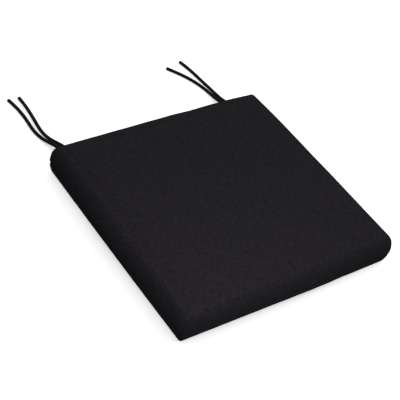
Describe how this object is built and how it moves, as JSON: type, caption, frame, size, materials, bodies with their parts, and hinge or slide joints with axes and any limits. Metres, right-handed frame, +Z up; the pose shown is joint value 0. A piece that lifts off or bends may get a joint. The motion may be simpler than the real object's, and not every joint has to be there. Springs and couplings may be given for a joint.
{
  "type": "chair seat pad",
  "caption": "Square firm seat pad for a chair: foam slab in a black woven cover with a side seam, a zip across the back and two pairs of fabric ties.",
  "frame": {"origin": "centre of the pad's underside, on the surface it rests on", "axes": "+X to the right of the pad seen from its front, +Y towards the backrest, where the ties and the zip are, +Z up"},
  "size_m": [0.4318, 0.608, 0.0571],
  "materials": {
    "cover_fabric": "matt woven",
    "tie_fabric": "matt woven",
    "foam": "open-cell matt",
    "fibre_wrap": "matt fibre",
    "zip_tape": "matt woven",
    "zip_coil": "satin",
    "zip_metal": "black satin lacquer"
  },
  "bodies": {
    "pad": {"cover_top": "cover_fabric", "cover_bottom": "cover_fabric", "foam_core": "foam", "fibre_wrap_top": "fibre_wrap", "fibre_wrap_bottom": "fibre_wrap", "zip_tape_upper": "zip_tape", "zip_tape_lower": "zip_tape", "zip_coil_upper": "zip_coil", "zip_coil_lower": "zip_coil", "zip_end_stops": "zip_metal", "tie_right_outer": "tie_fabric", "tie_right_inner": "tie_fabric", "tie_left_inner": "tie_fabric", "tie_left_outer": "tie_fabric"},
    "slider": {"zip_slider": "zip_metal"},
    "pull": {"zip_pull": "zip_metal"}
  },
  "joints": [
    {"name": "slider_travel", "type": "slide", "parent": "pad", "child": "slider", "axis": [-1, 0, 0], "range_m": [0, 0.2614]},
    {"name": "pull_swing", "type": "hinge", "parent": "slider", "child": "pull", "pos_m": [0.1307, 0.21165, 0.0205], "axis": [0, 0, -1], "range_deg": [0, 170]}
  ]
}
